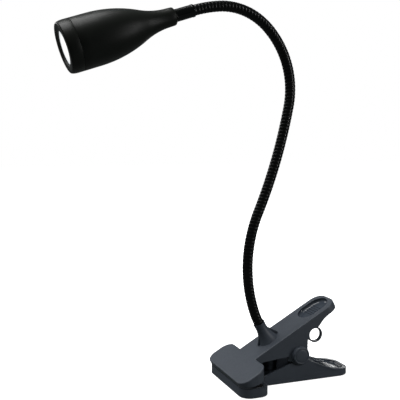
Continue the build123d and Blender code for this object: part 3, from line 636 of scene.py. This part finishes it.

# ---- torsion spring: a coil round the pivot pin, with a straight leg at each end ----
COIL_R, COIL_TURNS, COIL_PITCH, COIL_WIRE_R = 5, 4.125, 2.0, 0.8
STEPS_PER_TURN = 40
wound = radians(165)
coil_x, coil_y = Vector((cos(wound), 0, sin(wound))), Vector((-sin(wound), 0, cos(wound)))
coil_start = PIVOT + Y_DIR * (COIL_TURNS * COIL_PITCH / 2)
path = [coil_start + coil_x * COIL_R - coil_y * reach + Y_DIR * 0.45 for reach in (17.3, 12, 6, 3, 1.8)]
steps = ceil(COIL_TURNS * STEPS_PER_TURN)
for step in range(steps + 1):
    turned = COIL_TURNS * step / steps
    spoke = coil_x * cos(2 * pi * turned) + coil_y * sin(2 * pi * turned)
    path.append(coil_start + spoke * COIL_R - Y_DIR * (COIL_PITCH * turned))
coil_end = path[-1]
leg = coil_y * cos(2 * pi * COIL_TURNS) - coil_x * sin(2 * pi * COIL_TURNS)
path += [coil_end + leg * reach for reach in (2, 6, 12, 18.2)]
spring = wire(
    "torsion_spring", path, COIL_WIRE_R, spring_steel, "zinc_steel",
    replaces=["spring_coil", "spring_free_leg"], sharp=60,
)
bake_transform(spring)

# ---- rubber pads in the jaws, with grip ribs across them ----
PAD_HALF, PAD_CORNER_R, PAD_THICK = 32.0, 5.0, 1.6
GRIP_RIB_SPACING, GRIP_RIB_FLOOR = 2.0, -0.5
# a rib's section, as (place across the rib, height from the gripping face)
GRIP_RIB = [
    (-0.62, GRIP_RIB_FLOOR - 0.05), (-0.5, -0.16), (-0.3, -0.03), (0, 0),
    (0.3, -0.03), (0.5, -0.16), (0.62, GRIP_RIB_FLOOR - 0.05),
]


def rounded_outline(length, steps=8):
    """A pad's outline, from x = 0 to its length, with rounded corners."""
    low, high, edge = PAD_CORNER_R, length - PAD_CORNER_R, PAD_HALF - PAD_CORNER_R
    outline = []
    for x, y, start in ((high, edge, 0), (low, edge, 90), (low, -edge, 180), (high, -edge, 270)):
        for step in range(steps + 1):
            angle = radians(start + 90 * step / steps)
            outline.append((x + PAD_CORNER_R * cos(angle), y + PAD_CORNER_R * sin(angle)))
    return outline


def ribbed_pad(name, origin, across, out, length, node, body):
    """A pad let in below its gripping face: a slab with rounded corners and rows of ribs up to the face."""
    def at(x, y, z):
        return origin + across * x + Y_DIR * y + out * z

    outline = rounded_outline(length)
    count, middle = len(outline), length / 2
    points, faces = [], []
    slab = ((-PAD_THICK, 0.0), (-0.1, 0.0), (0.0, 0.12), (0.0, 1.0), (GRIP_RIB_FLOOR, 1.25))
    for height, inset in slab:
        for x, y in outline:
            inner_x = middle + (x - middle) * (1 - inset / middle)
            points.append(at(inner_x, y * (1 - inset / PAD_HALF), height))
    for row in range(len(slab) - 1):
        for index in range(count):
            after = (index + 1) % count
            a, b = row * count, (row + 1) * count
            faces.append([a + index, a + after, b + after, b + index])
    faces.append(list(range(len(points) - count, len(points))))
    faces.append(list(reversed(range(count))))

    ribs = int((length - 4.0) / GRIP_RIB_SPACING)
    size = len(GRIP_RIB)
    for number in range(ribs):
        crest = middle + (number - (ribs - 1) / 2) * GRIP_RIB_SPACING
        into_corner = max(PAD_CORNER_R - min(crest, length - crest), 0)
        corner_cut = PAD_CORNER_R - sqrt(max(PAD_CORNER_R ** 2 - into_corner ** 2, 0))
        reach = PAD_HALF - 1.4 - corner_cut
        base = len(points)
        for end in (-1, 1):
            for shift, height in GRIP_RIB:
                points.append(at(crest + shift, end * (reach + height * 0.5), height))
        for index in range(size):
            after = (index + 1) % size
            faces.append([base + index, base + size + index, base + size + after, base + after])
        faces.append(list(range(base, base + size)))
        faces.append(list(reversed(range(base + size, base + 2 * size))))
    new_piece(name, points, faces, pad_rubber, "pad_rubber", body=body, replaces=[node], sharp=50)


ribbed_pad("lower_grip_pad", X_DIR * -2.8, X_DIR, Z_DIR, 15.8, "lower_jaw_pad", "lower_clip")

# the upper jaw's gripping face rises by this angle from its front edge
TAPER = radians(13.5)
TO_JAW_EDGE, JAW_EDGE_HEIGHT = 43.5, 0.35
taper_along, taper_out = Vector((cos(TAPER), 0, sin(TAPER))), Vector((sin(TAPER), 0, -cos(TAPER)))
edge_drop = FOOT.z - TO_JAW_EDGE * ALONG.z - JAW_EDGE_HEIGHT
jaw_edge = FOOT - ALONG * TO_JAW_EDGE - NORMAL * (edge_drop / NORMAL.z)
pad_edge = jaw_edge + taper_along * 3.5
ribbed_pad("upper_grip_pad", pad_edge, taper_along, taper_out, 17.2, "upper_jaw_pad", "upper_clip")

# ---- stage ----
def camera_and_light(nodes, links, for_camera, for_light, output):
    """One shader for what the camera sees, and another for what falls on the lamp."""
    rays = nodes.new("ShaderNodeLightPath")
    mix = nodes.new("ShaderNodeMixShader")
    links.new(rays.outputs["Is Camera Ray"], mix.inputs["Fac"])
    links.new(for_light, mix.inputs[1])
    links.new(for_camera, mix.inputs[2])
    links.new(mix.outputs["Shader"], nodes[output].inputs["Surface"])


FLOOR_HALF, FLOOR_DROP = 4, 0.0003
floor_z = cad_box[0][2] - FLOOR_DROP
floor_corners = [(x * FLOOR_HALF, y * FLOOR_HALF, floor_z) for x, y in ((-1, -1), (1, -1), (1, 1), (-1, 1))]
floor_mesh = bpy.data.meshes.new("floor")
floor_mesh.from_pydata(floor_corners, [], [(0, 1, 2, 3)])
floor = bpy.data.objects.new("floor", floor_mesh)
bpy.context.scene.collection.objects.link(floor)
floor_mat, nodes, links, bsdf = new_material("floor")
bsdf.inputs["Base Color"].default_value = (0.82, 0.82, 0.82, 1)
bsdf.inputs["Roughness"].default_value = 0.9
bsdf.inputs["Specular IOR Level"].default_value = 0.0
bsdf.inputs["Emission Color"].default_value = (1, 1, 1, 1)
bsdf.inputs["Emission Strength"].default_value = 0.93
dim = add(nodes, "BsdfDiffuse", Color=(0.14, 0.15, 0.15, 1))
camera_and_light(nodes, links, bsdf.outputs["BSDF"], dim.outputs["BSDF"], "Material Output")
floor_mesh.materials.append(floor_mat)

world = bpy.data.worlds.new("studio")
bpy.context.scene.world = world
world.use_nodes = True
nodes, links = world.node_tree.nodes, world.node_tree.links
backdrop = nodes["Background"]
backdrop.inputs["Color"].default_value = (1, 1, 1, 1)
backdrop.inputs["Strength"].default_value = 1.0
fill = add(nodes, "Background", Color=(0.88, 0.98, 1.0, 1), Strength=0.11)
camera_and_light(nodes, links, backdrop.outputs["Background"], fill.outputs["Background"], "World Output")


def softbox(name, position, target, width, height, power):
    light = bpy.data.lights.new(name, "AREA")
    light.shape = "RECTANGLE"
    light.size, light.size_y = width, height
    light.energy = power
    box = bpy.data.objects.new(name, light)
    bpy.context.scene.collection.objects.link(box)
    box.location = position
    aim = Vector(target) - Vector(position)
    box.rotation_euler = aim.to_track_quat("-Z", "Y").to_euler()


softbox("key_softbox", (-0.42, 0.12, 1.15), (-0.02, 0, 0.1), 0.8, 0.8, 15.0)
softbox("side_strip", (0.73, -0.68, 0.42), (0.0, 0, 0.18), 0.025, 0.8, 3.5)
softbox("back_left", (-0.38, 0.89, 0.51), (0.0, 0, 0.1), 0.25, 0.25, 1.2)
softbox("back_right", (0.52, 0.89, 0.52), (0.05, 0, 0.05), 0.25, 0.25, 1.2)
softbox("low_panel", (0.60, 0.73, 0.15), (0.08, 0, 0.0), 0.3, 0.08, 0.22)

CAMERA_PLACE = Vector((-0.20868, -0.48675, 0.18418))
FORWARD = Vector((0.34856, 0.93293, -0.09026)).normalized()
RIGHT = Vector((0.93675, -0.34999, 0.0)).normalized()
camera_data = bpy.data.cameras.new("camera")
camera_data.lens, camera_data.sensor_width = 63.0, 36.0
camera_data.clip_start, camera_data.clip_end = 0.01, 20
camera = bpy.data.objects.new("camera", camera_data)
bpy.context.scene.collection.objects.link(camera)
facing = Matrix((RIGHT, RIGHT.cross(FORWARD), -FORWARD)).transposed()
camera.matrix_world = Matrix.Translation(CAMERA_PLACE) @ facing.to_4x4()
bpy.context.scene.camera = camera
bpy.context.scene.view_settings.view_transform = "Standard"
